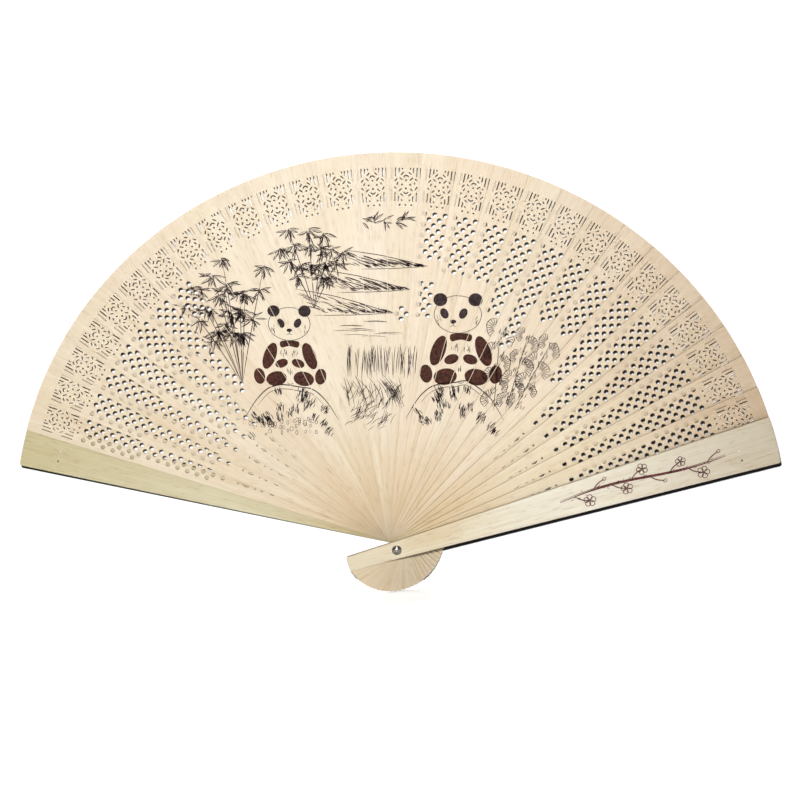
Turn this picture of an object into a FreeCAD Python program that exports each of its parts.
import FreeCAD, Part
import math
import os

import Sketcher
from FreeCAD import Vector

# A folding fan of thin sandalwood sticks, open to its full spread. Millimetres and degrees.
# The origin is on the rivet's axis, half way through the stack of sticks. The fan stands in the XZ
# plane: +X to the viewer's right, +Z up, +Y through the stack from the front guard to the back guard.
# In a stick's own sketch, x runs across the stick and y along it, from the rivet towards the tip.

# Driving dimensions: alias, value, meaning.
SIZES = [
    ("stick_count", 28, "thin sticks between the two guards"),
    ("stick_pitch", 0.9, "from one stick to the next, through the stack"),
    ("stick_thickness", 0.7, "thin stick"),
    ("guard_thickness", 2.0, "outer stick"),
    ("guard_gap", 0.15, "between a guard and its neighbour"),
    ("first_angle", 16.6, "front guard above +X"),
    ("spread_angle", 148.6, "front guard to back guard, fan open"),
    ("tip_radius", 203.0, "rivet to tip"),
    ("tail_radius", 26.5, "rivet to tail end"),
    ("stick_tip_width", 21.8, "thin stick at its tip"),
    ("stick_pivot_width", 7.8, "thin stick at the rivet"),
    ("stick_tail_width", 6.8, "thin stick at its tail end"),
    ("guard_tip_width", 25.2, "guard at its tip"),
    ("guard_pivot_width", 9.2, "guard at the rivet"),
    ("guard_tail_width", 7.8, "guard at its tail end"),
    ("stick_corner", 0.8, "corner radius of a thin stick"),
    ("guard_corner", 1.2, "corner radius of a guard"),
    ("guard_edge", 0.3, "rounding of a guard's outer edges"),
    ("bore_radius", 1.55, "hole for the rivet"),
    ("shank_radius", 1.5, "rivet"),
    ("head_radius", 2.55, "rivet's domed head"),
    ("head_height", 1.3, "rivet's domed head"),
    ("washer_radius", 3.2, "washer let into the back guard"),
    ("washer_thickness", 0.9, "washer let into the back guard"),
    ("flare_radius", 2.3, "rivet's rear end, spread into the washer"),
    ("recess_clearance", 0.05, "round and under the washer"),
    ("thread_hole_radius", 0.5, "holes for the linking thread"),
    ("thread_height", 183.5, "linking thread, from the rivet"),
    ("thread_hole_offset", 5.5, "second thread hole, towards the guard's outer edge"),
    ("knot_radius", 0.85, "knot of the linking thread"),
    ("rosette_centre", 187.2, "sawn rosette, from the rivet"),
    ("rosette_offset", -0.5, "rosette's middle across the stick"),
    ("slit_width", 0.6, "saw cuts of the rosette"),
    ("lattice_offset", -1.0, "middle column of round holes across the stick"),
    ("lattice_radius", 1.2, "round hole of the lattice"),
    ("lattice_top", 173.0, "highest row of round holes"),
    ("lattice_row", 2.7, "from row to row"),
    ("lattice_column", 2.6, "from column to column"),
    ("middle_column_end", 92.0, "lowest hole of the middle column"),
    ("inner_column_end", 102.0, "lowest hole of the columns beside it"),
    ("outer_column_end", 145.0, "lowest hole of the outer columns"),
]
SIZE = {name: value for name, value, meaning in SIZES}

# The picture takes up the middle of the fan, so these sticks have round holes only between the
# heights given, and the sticks with an empty list have none.
LATTICE_SPANS = {
    6: [(118, 173)],
    7: [(140, 173)],
    8: [(140, 173)],
    9: [(118, 173)],
    10: [(132, 173)],
    11: [(145, 173)],
    12: [(145, 173)],
    13: [(149, 173), (120, 138)],
    14: [(119, 127)],
    22: [(156, 173)],
    23: [(142, 173), (112, 138)],
}
LATTICE_SPANS.update({number: [] for number in range(15, 22)})

# Rosette cuts of the right half, from the rosette's middle. The left half is its mirror image.
# Slanted cuts: x, y, length, tilt.
SLANTED_CUTS = [
    (2.0, 5.3, 2.0, -45),
    (2.6, 2.6, 2.1, 45),
    (5.1, 2.1, 1.9, -51),
    (4.3, 0.3, 1.5, -67),
    (5.2, -2.0, 2.0, 53),
    (2.8, -2.8, 1.8, -45),
    (2.0, -5.3, 1.9, 43),
    (2.0, -8.0, 1.0, 60),
]
# Upright cuts: x, lower end, upper end.
UPRIGHT_CUTS = [
    (7.2, 2.4, 8.2),
    (5.4, 3.7, 8.2),
    (3.6, 5.7, 8.2),
    (2.1, 7.2, 8.2),
    (7.2, -8.6, -2.6),
    (5.4, -8.6, -4.0),
    (3.6, -8.6, -5.9),
]
CRESCENT_HEIGHTS = [3.25, -3.45]
CRESCENT_RADIUS = 1.15
CRESCENT_HALF_SWEEP = 68
# Drilled dots: x, y, radius. They lie in pairs or on the middle line.
ROSETTE_DOTS = [
    (0.0, 2.0, 0.45),
    (0.0, -2.1, 0.5),
    (2.05, -0.2, 0.45),
    (-2.05, -0.2, 0.45),
    (0.0, -10.3, 0.45),
    (2.9, -10.3, 0.45),
    (-2.9, -10.3, 0.45),
]
# Tapering ornament under the lattice, on the middle column: height, half width, half length.
ORNAMENT_DIAMONDS = [
    (84.5, 0.8, 2.0),
    (75.7, 0.4, 0.9),
    (70.0, 0.35, 1.5),
]
ORNAMENT_DOTS = [
    (88.9, 0.55),
    (79.4, 0.45),
]


def make_sheet(doc):
    sheet = doc.addObject("Spreadsheet::Sheet", "Sizes")
    for row, (alias, value, meaning) in enumerate(SIZES, start=1):
        sheet.set(f"A{row}", meaning)
        sheet.set(f"B{row}", str(value))
        sheet.setAlias(f"B{row}", alias)
    doc.recompute()
    return sheet


def new_body(doc, label):
    body = doc.addObject("PartDesign::Body", label)
    body.Label = label
    return body


def new_sketch(body, role, name):
    sketch = body.newObject("Sketcher::SketchObject", name)
    plane = [feature for feature in body.Origin.OriginFeatures if feature.Role == role][0]
    sketch.AttachmentSupport = [(plane, "")]
    sketch.MapMode = "FlatFace"
    return sketch


def bind_constraint(sketch, constraint, name, formula):
    index = sketch.addConstraint(constraint)
    sketch.renameConstraint(index, name)
    sketch.setExpression(f"Constraints.{name}", formula)


def half_width(kind, place):
    return SIZE[f"{kind}_{place}_width"] / 2


def arc_ends(radius, across):
    return math.asin(across / radius)


def draw_outline(sketch, kind):
    """A stick's outline: straight sides that taper from the tip to the rivet and on to the tail,
    closed by an arc about the rivet at each end, with the rivet's bore in the middle."""
    tip = half_width(kind, "tip")
    pivot = half_width(kind, "pivot")
    tail = half_width(kind, "tail")
    tip_turn = arc_ends(SIZE["tip_radius"], tip)
    tail_turn = arc_ends(SIZE["tail_radius"], tail)
    tip_y = SIZE["tip_radius"] * math.cos(tip_turn)
    tail_y = -SIZE["tail_radius"] * math.cos(tail_turn)
    up = math.pi / 2
    tip_circle = Part.Circle(Vector(), Vector(0, 0, 1), SIZE["tip_radius"])
    tail_circle = Part.Circle(Vector(), Vector(0, 0, 1), SIZE["tail_radius"])
    right_tip, left_tip = Vector(tip, tip_y), Vector(-tip, tip_y)
    right_pivot, left_pivot = Vector(pivot, 0), Vector(-pivot, 0)
    right_tail, left_tail = Vector(tail, tail_y), Vector(-tail, tail_y)
    sketch.addGeometry([
        Part.ArcOfCircle(tip_circle, up - tip_turn, up + tip_turn),
        Part.LineSegment(left_tip, left_pivot),
        Part.LineSegment(left_pivot, left_tail),
        Part.ArcOfCircle(tail_circle, -up - tail_turn, -up + tail_turn),
        Part.LineSegment(right_tail, right_pivot),
        Part.LineSegment(right_pivot, right_tip),
        Part.Circle(Vector(), Vector(0, 0, 1), SIZE["bore_radius"]),
    ], False)
    constrain_outline(sketch, kind)


def constrain_outline(sketch, kind):
    tip_arc, left_side, left_tail, tail_arc, right_tail, right_side, bore = range(7)
    start, end, centre = 1, 2, 3
    x_axis, y_axis, origin = -1, -2, (-1, 1)
    joined = [
        (tip_arc, end, left_side, start),
        (left_side, end, left_tail, start),
        (left_tail, end, tail_arc, start),
        (tail_arc, end, right_tail, start),
        (right_tail, end, right_side, start),
        (right_side, end, tip_arc, start),
        (tip_arc, centre, *origin),
        (tail_arc, centre, *origin),
        (bore, centre, *origin),
    ]
    for ends in joined:
        sketch.addConstraint(Sketcher.Constraint("Coincident", *ends))
    mirrored = [
        (tip_arc, start, tip_arc, end),
        (right_side, start, left_side, end),
        (tail_arc, start, tail_arc, end),
    ]
    for ends in mirrored:
        sketch.addConstraint(Sketcher.Constraint("Symmetric", *ends, y_axis))
    sketch.addConstraint(Sketcher.Constraint("PointOnObject", left_side, end, x_axis))
    tip = 2 * half_width(kind, "tip")
    pivot = 2 * half_width(kind, "pivot")
    tail = 2 * half_width(kind, "tail")
    named = [
        ("tip_radius", ("Radius", tip_arc, SIZE["tip_radius"]), "tip_radius"),
        ("tail_radius", ("Radius", tail_arc, SIZE["tail_radius"]), "tail_radius"),
        ("bore_radius", ("Radius", bore, SIZE["bore_radius"]), "bore_radius"),
        ("tip_width", ("DistanceX", tip_arc, end, tip_arc, start, tip), f"{kind}_tip_width"),
        ("pivot_width", ("DistanceX", left_side, end, right_side, start, pivot), f"{kind}_pivot_width"),
        ("tail_width", ("DistanceX", tail_arc, start, tail_arc, end, tail), f"{kind}_tail_width"),
    ]
    for name, arguments, alias in named:
        bind_constraint(sketch, Sketcher.Constraint(*arguments), name, f"Sizes.{alias}")


def pad_middle(body, sketch, name, formula):
    pad = body.newObject("PartDesign::Pad", name)
    pad.Profile = sketch
    pad.Midplane = True
    pad.setExpression("Length", formula)
    sketch.Visibility = False
    return pad


def cut_through(body, sketch, name, thickness):
    """Cuts the sketch right through a plate of that thickness, and stops if nothing was cut."""
    body.Document.recompute()
    before = body.Shape.Volume
    pocket = body.newObject("PartDesign::Pocket", name)
    pocket.Profile = sketch
    pocket.Midplane = True
    pocket.setExpression("Length", f"2 * {thickness}")
    # A plain cut leaves no faces to merge.
    pocket.Refine = False
    body.Document.recompute()
    if body.Shape.Volume >= before:
        raise RuntimeError(f"{body.Label}: {name} cuts nothing")
    return pocket


def upright_edges(shape, least_radius):
    """The edges through the plate's thickness that lie further from the rivet than least_radius."""
    found = []
    for number, edge in enumerate(shape.Edges, start=1):
        start, end = edge.Vertexes[0].Point, edge.Vertexes[-1].Point
        across = math.hypot(start.x - end.x, start.z - end.z)
        if across < 1e-6 and abs(start.y - end.y) > 0.1 and math.hypot(start.x, start.z) > least_radius:
            found.append(f"Edge{number}")
    return found


def round_corners(body, kind):
    body.Document.recompute()
    base = body.Tip
    corners = upright_edges(base.Shape, SIZE["tail_radius"] / 2)
    fillet = body.newObject("PartDesign::Fillet", "corners")
    fillet.Base = (base, corners)
    fillet.setExpression("Radius", f"Sizes.{kind}_corner")
    return fillet


def place_stick(body, turn, depth):
    """Turns the stick about the rivet's axis from +Z towards +X, and moves it along the stack."""
    body.Placement = FreeCAD.Placement(Vector(), FreeCAD.Rotation(Vector(0, 1, 0), 1))
    body.setExpression("Placement.Rotation.Angle", f"90 deg - ({turn}) * 1 deg")
    body.setExpression("Placement.Base.y", depth)


def slit(x, y, length, width, tilt):
    """A saw cut with round ends, tilted from the x direction."""
    radius = width / 2
    angle = math.radians(tilt)
    along = Vector(math.cos(angle), math.sin(angle)) * (length / 2 - radius)
    side = Vector(-math.sin(angle), math.cos(angle)) * radius
    middle = Vector(x, y)
    far, near = middle + along, middle - along
    far_end = Part.Circle(far, Vector(0, 0, 1), radius)
    near_end = Part.Circle(near, Vector(0, 0, 1), radius)
    quarter = math.pi / 2
    return [
        Part.LineSegment(near - side, far - side),
        Part.ArcOfCircle(far_end, angle - quarter, angle + quarter),
        Part.LineSegment(far + side, near + side),
        Part.ArcOfCircle(near_end, angle + quarter, angle + 3 * quarter),
    ]


def crescent(x, y, radius, width, middle_angle):
    """A cut bent round the point x, y, with round ends."""
    first = math.radians(middle_angle - CRESCENT_HALF_SWEEP)
    last = math.radians(middle_angle + CRESCENT_HALF_SWEEP)
    half = width / 2
    up = Vector(0, 0, 1)
    centre = Vector(x, y)
    start = centre + Vector(math.cos(first), math.sin(first)) * radius
    finish = centre + Vector(math.cos(last), math.sin(last)) * radius
    return [
        Part.ArcOfCircle(Part.Circle(centre, up, radius + half), first, last),
        Part.ArcOfCircle(Part.Circle(finish, up, half), last, last + math.pi),
        Part.ArcOfCircle(Part.Circle(centre, up, radius - half), first, last),
        Part.ArcOfCircle(Part.Circle(start, up, half), first - math.pi, first),
    ]


def diamond(x, y, half_across, half_along):
    corners = [
        Vector(x + half_across, y),
        Vector(x, y + half_along),
        Vector(x - half_across, y),
        Vector(x, y - half_along),
    ]
    return [Part.LineSegment(corners[i - 1], corners[i]) for i in range(4)]


def hole(x, y, radius):
    return [Part.Circle(Vector(x, y), Vector(0, 0, 1), radius)]


def rosette_cuts():
    x0, y0 = SIZE["rosette_offset"], SIZE["rosette_centre"]
    width = SIZE["slit_width"]
    cuts = []
    for side in (1, -1):
        for x, y, length, tilt in SLANTED_CUTS:
            cuts += slit(x0 + side * x, y0 + y, length, width, side * tilt)
        for x, low, high in UPRIGHT_CUTS:
            cuts += slit(x0 + side * x, y0 + (low + high) / 2, high - low, width, 90)
    for height in CRESCENT_HEIGHTS:
        middle_angle = 90 if height > 0 else -90
        cuts += crescent(x0, y0 + height, CRESCENT_RADIUS, width, middle_angle)
    for x, y, radius in ROSETTE_DOTS:
        cuts += hole(x0 + x, y0 + y, radius)
    return cuts


def lattice_cuts(number):
    """Round holes in staggered rows. The columns nearer the edges end sooner, as the stick tapers."""
    ends = {
        0: SIZE["middle_column_end"],
        1: SIZE["inner_column_end"],
        2: SIZE["outer_column_end"],
    }
    spans = LATTICE_SPANS.get(number, [(0, SIZE["lattice_top"])])
    rows = int((SIZE["lattice_top"] - SIZE["middle_column_end"]) / SIZE["lattice_row"]) + 1
    cuts = []
    for row in range(rows):
        y = SIZE["lattice_top"] - row * SIZE["lattice_row"]
        columns = (-2, 0, 2) if row % 2 == 0 else (-1, 1)
        for column in columns:
            inside = any(low <= y <= high for low, high in spans)
            if inside and y >= ends[abs(column)]:
                x = SIZE["lattice_offset"] + column * SIZE["lattice_column"]
                cuts += hole(x, y, SIZE["lattice_radius"])
    return cuts


def ornament_cuts():
    x = SIZE["lattice_offset"]
    cuts = []
    for y, half_across, half_along in ORNAMENT_DIAMONDS:
        cuts += diamond(x, y, half_across, half_along)
    for y, radius in ORNAMENT_DOTS:
        cuts += hole(x, y, radius)
    return cuts


def build_stick(doc, number):
    body = new_body(doc, f"stick_{number:02d}")
    outline = new_sketch(body, "XZ_Plane", "outline")
    draw_outline(outline, "stick")
    pad_middle(body, outline, "blank", "Sizes.stick_thickness")
    round_corners(body, "stick")
    fretwork = new_sketch(body, "XZ_Plane", "fretwork")
    fretwork.addGeometry(rosette_cuts(), False)
    fretwork.addGeometry(lattice_cuts(number), False)
    if number not in LATTICE_SPANS:
        fretwork.addGeometry(ornament_cuts(), False)
    cut_through(body, fretwork, "fretwork_cut", "Sizes.stick_thickness")
    share = f"{number} / (Sizes.stick_count + 1)"
    place_stick(
        body,
        f"Sizes.first_angle + {share} * Sizes.spread_angle",
        f"({number} - (Sizes.stick_count + 1) / 2) * Sizes.stick_pitch * 1 mm",
    )
    return body


def guard_depth():
    return ("((Sizes.stick_count - 1) / 2 * Sizes.stick_pitch + Sizes.stick_thickness / 2"
            " + Sizes.guard_gap + Sizes.guard_thickness / 2) * 1 mm")


def outer_face_edges(shape, outward):
    """The long edges of the guard's outer face, which is the one at the far side along Y."""
    limit = shape.BoundBox.YMax if outward > 0 else shape.BoundBox.YMin
    found = []
    for number, edge in enumerate(shape.Edges, start=1):
        box = edge.BoundBox
        flat = abs(box.YMin - limit) < 1e-6 and abs(box.YMax - limit) < 1e-6
        away = edge.distToShape(Part.Vertex(0, limit, 0))[0] > SIZE["bore_radius"] + 0.5
        if flat and away:
            found.append(f"Edge{number}")
    return found


def round_outer_edges(body, outward):
    body.Document.recompute()
    base = body.Tip
    fillet = body.newObject("PartDesign::Fillet", "outer_edges")
    fillet.Base = (base, outer_face_edges(base.Shape, outward))
    fillet.setExpression("Radius", "Sizes.guard_edge")


def draw_thread_holes(sketch, outer_side):
    """Two small holes for the linking thread: one on the middle line, one nearer the outer edge."""
    y = SIZE["thread_height"]
    radius = SIZE["thread_hole_radius"]
    for index, x in enumerate((0, outer_side * SIZE["thread_hole_offset"])):
        sketch.addGeometry(hole(x, y, radius), False)
        bind_constraint(sketch, Sketcher.Constraint("Radius", index, radius),
                        f"radius_{index + 1}", "Sizes.thread_hole_radius")
        bind_constraint(sketch, Sketcher.Constraint("DistanceY", -1, 1, index, 3, y),
                        f"height_{index + 1}", "Sizes.thread_height")


def build_guard(doc, label, outward):
    """A guard. outward is -1 for the front one and 1 for the back one, the side that its face looks."""
    body = new_body(doc, label)
    outline = new_sketch(body, "XZ_Plane", "outline")
    draw_outline(outline, "guard")
    pad_middle(body, outline, "blank", "Sizes.guard_thickness")
    round_corners(body, "guard")
    round_outer_edges(body, outward)
    thread_holes = new_sketch(body, "XZ_Plane", "thread_holes")
    draw_thread_holes(thread_holes, -outward)
    cut_through(body, thread_holes, "thread_holes_cut", "Sizes.guard_thickness")
    turn = "Sizes.first_angle" if outward < 0 else "Sizes.first_angle + Sizes.spread_angle"
    place_stick(body, turn, f"{outward} * {guard_depth()}")
    return body


def sink_washer_seat(body):
    """The round recess in the back guard's outer face that the washer turns in."""
    body.Document.recompute()
    before = body.Shape.Volume
    radius = SIZE["washer_radius"] + SIZE["recess_clearance"]
    sketch = new_sketch(body, "XZ_Plane", "washer_seat")
    sketch.addGeometry(hole(0, 0, radius), False)
    sketch.addConstraint(Sketcher.Constraint("Coincident", 0, 3, -1, 1))
    bind_constraint(sketch, Sketcher.Constraint("Radius", 0, radius), "seat_radius",
                    "Sizes.washer_radius + Sizes.recess_clearance")
    # The sketch plane's normal points along -Y, so a negative offset puts it inside the guard.
    sketch.setExpression("AttachmentOffset.Base.z",
                         "-(Sizes.guard_thickness / 2 - Sizes.washer_thickness"
                         " - 2 * Sizes.recess_clearance) * 1 mm")
    seat = body.newObject("PartDesign::Pocket", "washer_seat_cut")
    seat.Profile = sketch
    seat.Type = "ThroughAll"
    seat.Reversed = False
    body.Document.recompute()
    removed = before - body.Shape.Volume
    depth = SIZE["washer_thickness"] + 2 * SIZE["recess_clearance"]
    expected = math.pi * (radius ** 2 - SIZE["bore_radius"] ** 2) * depth
    if abs(removed - expected) > 0.05 * expected:
        raise RuntimeError(f"washer seat removed {removed:.2f} mm3, expected {expected:.2f}")


def revolve_profile(body, name, edges):
    """Turns a closed profile, drawn with x as the radius and y along the axis, about the Y axis."""
    sketch = new_sketch(body, "XY_Plane", f"{name}_profile")
    sketch.addGeometry(edges, False)
    turn = body.newObject("PartDesign::Revolution", name)
    turn.Profile = sketch
    turn.ReferenceAxis = (sketch, ["V_Axis"])
    turn.Angle = 360
    sketch.Visibility = False


def closed_lines(points):
    corners = [Vector(x, y) for x, y in points]
    return [Part.LineSegment(corners[i - 1], corners[i]) for i in range(len(corners))]


def outer_face_depth():
    middle = (SIZE["stick_count"] - 1) / 2 * SIZE["stick_pitch"]
    return middle + SIZE["stick_thickness"] / 2 + SIZE["guard_gap"] + SIZE["guard_thickness"]


def washer_span():
    """Y of the washer's inner and outer faces. The outer one is just under the guard's face."""
    outer = outer_face_depth() - SIZE["recess_clearance"]
    return outer - SIZE["washer_thickness"], outer


def build_rivet(doc):
    """The rivet: a domed head on the front guard, a plain shank, and an end spread into the washer."""
    body = new_body(doc, "rivet")
    face = -outer_face_depth()
    inner, outer = washer_span()
    shank, head = SIZE["shank_radius"], SIZE["head_radius"]
    top = face - SIZE["head_height"]
    dome_radius = (head ** 2 + SIZE["head_height"] ** 2) / (2 * SIZE["head_height"])
    dome_centre = top + dome_radius
    middle_turn = math.asin(head / dome_radius) / 2
    on_dome = Vector(dome_radius * math.sin(middle_turn), dome_centre - dome_radius * math.cos(middle_turn))
    corners = [
        Vector(head, face),
        Vector(shank, face),
        Vector(shank, inner),
        Vector(SIZE["flare_radius"], outer),
        Vector(0, outer),
        Vector(0, top),
    ]
    edges = [Part.LineSegment(corners[i], corners[i + 1]) for i in range(len(corners) - 1)]
    edges.append(Part.Arc(corners[-1], on_dome, corners[0]))
    revolve_profile(body, "turned_rivet", edges)
    return body


def build_washer(doc):
    """The washer: a flat ring, countersunk for the rivet's spread end."""
    body = new_body(doc, "rivet_washer")
    inner, outer = washer_span()
    points = [
        (SIZE["shank_radius"], inner),
        (SIZE["washer_radius"], inner),
        (SIZE["washer_radius"], outer),
        (SIZE["flare_radius"], outer),
    ]
    revolve_profile(body, "turned_washer", closed_lines(points))
    return body


def thread_hole_place(turn, depth):
    """The thread hole on the middle line of a guard that stands at that angle."""
    angle = math.radians(turn)
    height = SIZE["thread_height"]
    return Vector(height * math.cos(angle), depth, height * math.sin(angle))


def build_thread_knot(doc):
    """A knot of the linking thread: a flattened bead on the front guard, with a tail in its hole."""
    body = new_body(doc, "thread_knot")
    radius = SIZE["knot_radius"]
    tail = SIZE["thread_hole_radius"] - SIZE["recess_clearance"]
    length = SIZE["guard_thickness"] - 4 * SIZE["recess_clearance"]
    shoulder = Vector(radius, -0.25 * radius)
    on_bead = Vector(0.75 * radius, -0.6 * radius)
    crown = Vector(0, -0.8 * radius)
    corners = [
        shoulder,
        Vector(0.8 * radius, 0),
        Vector(tail, 0),
        Vector(tail, length),
        Vector(0, length),
        crown,
    ]
    edges = [Part.LineSegment(corners[i], corners[i + 1]) for i in range(len(corners) - 1)]
    edges.append(Part.Arc(crown, on_bead, shoulder))
    revolve_profile(body, "bead", edges)
    body.Placement.Base = thread_hole_place(SIZE["first_angle"], -outer_face_depth())
    return body


def build_thread_end(doc):
    """The far end of the linking thread, glued in the back guard's hole and flush with its faces."""
    body = new_body(doc, "thread_end")
    sketch = new_sketch(body, "XZ_Plane", "round")
    radius = SIZE["thread_hole_radius"] - SIZE["recess_clearance"]
    sketch.addGeometry(hole(0, 0, radius), False)
    sketch.addConstraint(Sketcher.Constraint("Coincident", 0, 3, -1, 1))
    bind_constraint(sketch, Sketcher.Constraint("Radius", 0, radius), "thread_radius",
                    "Sizes.thread_hole_radius - Sizes.recess_clearance")
    pad_middle(body, sketch, "thread", "Sizes.guard_thickness - 2 * Sizes.recess_clearance")
    depth = outer_face_depth() - SIZE["guard_thickness"] / 2
    body.Placement.Base = thread_hole_place(SIZE["first_angle"] + SIZE["spread_angle"], depth)
    return body


def check_objects(doc, bodies):
    for item in doc.Objects:
        if "Invalid" in item.State or "Error" in item.State:
            raise RuntimeError(f"{item.Label} failed: {item.State}")
    for body in bodies:
        if body.Shape.isNull() or not body.Shape.isValid() or len(body.Shape.Solids) != 1:
            raise RuntimeError(f"{body.Label} isn't one valid solid")


def main():
    doc = FreeCAD.newDocument("folding_fan")
    make_sheet(doc)
    bodies = [build_guard(doc, "front_guard", -1)]
    for number in range(1, SIZE["stick_count"] + 1):
        bodies.append(build_stick(doc, number))
    back_guard = build_guard(doc, "back_guard", 1)
    sink_washer_seat(back_guard)
    bodies.append(back_guard)
    bodies.append(build_rivet(doc))
    bodies.append(build_washer(doc))
    bodies.append(build_thread_knot(doc))
    bodies.append(build_thread_end(doc))
    doc.recompute()
    check_objects(doc, bodies)
    os.makedirs("parts", exist_ok=True)
    for body in bodies:
        body.Shape.exportStep(f"parts/{body.Label}.step")
        print(f"{body.Label}: {body.Shape.Volume:.1f} mm3")


main()
